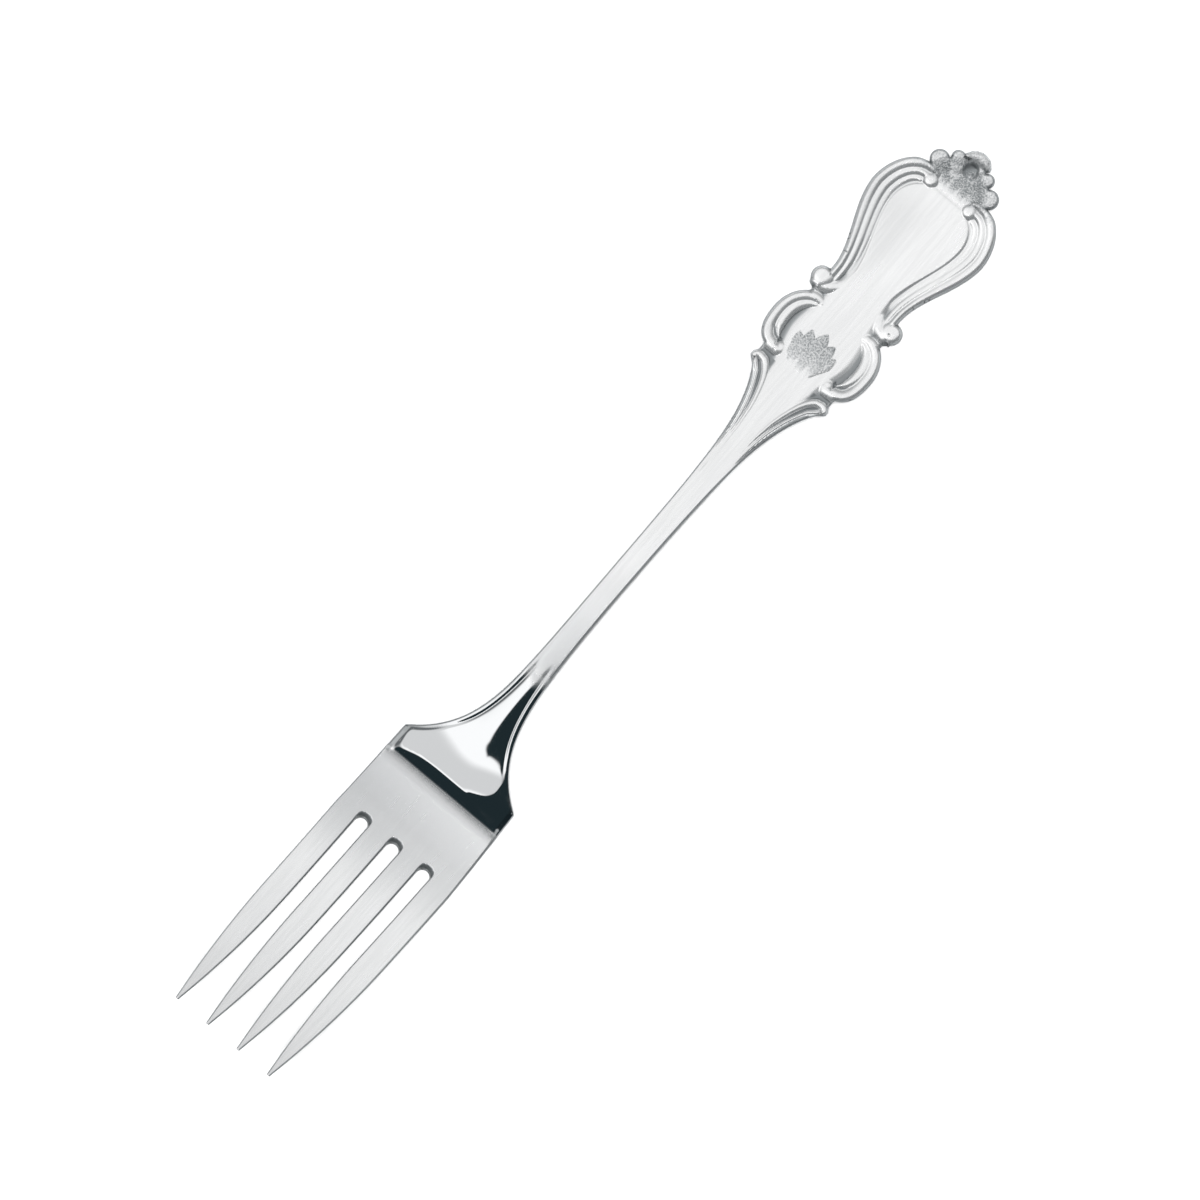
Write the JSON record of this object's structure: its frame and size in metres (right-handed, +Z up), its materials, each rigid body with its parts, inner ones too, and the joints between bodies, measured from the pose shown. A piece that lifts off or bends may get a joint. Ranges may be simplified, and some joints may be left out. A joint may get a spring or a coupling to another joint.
{
  "type": "fruit fork",
  "caption": "One-piece fruit fork with tapered tines, a stepped shoulder, a slim threaded stem and a scrolled handle ending in a leaf.",
  "frame": {"origin": "on the table, under the middle of the fork's length and width, with the fork lying on its back", "axes": "+X from the tine tips to the end of the handle, +Y across the fork, +Z up from the back to the ornamented front"},
  "size_m": [0.165, 0.0208, 0.014],
  "materials": {
    "silver": "satin silver, mirror polished at the shoulder, with matt grounds in the relief"
  },
  "bodies": {
    "root": {"fork": "silver"}
  },
  "joints": []
}
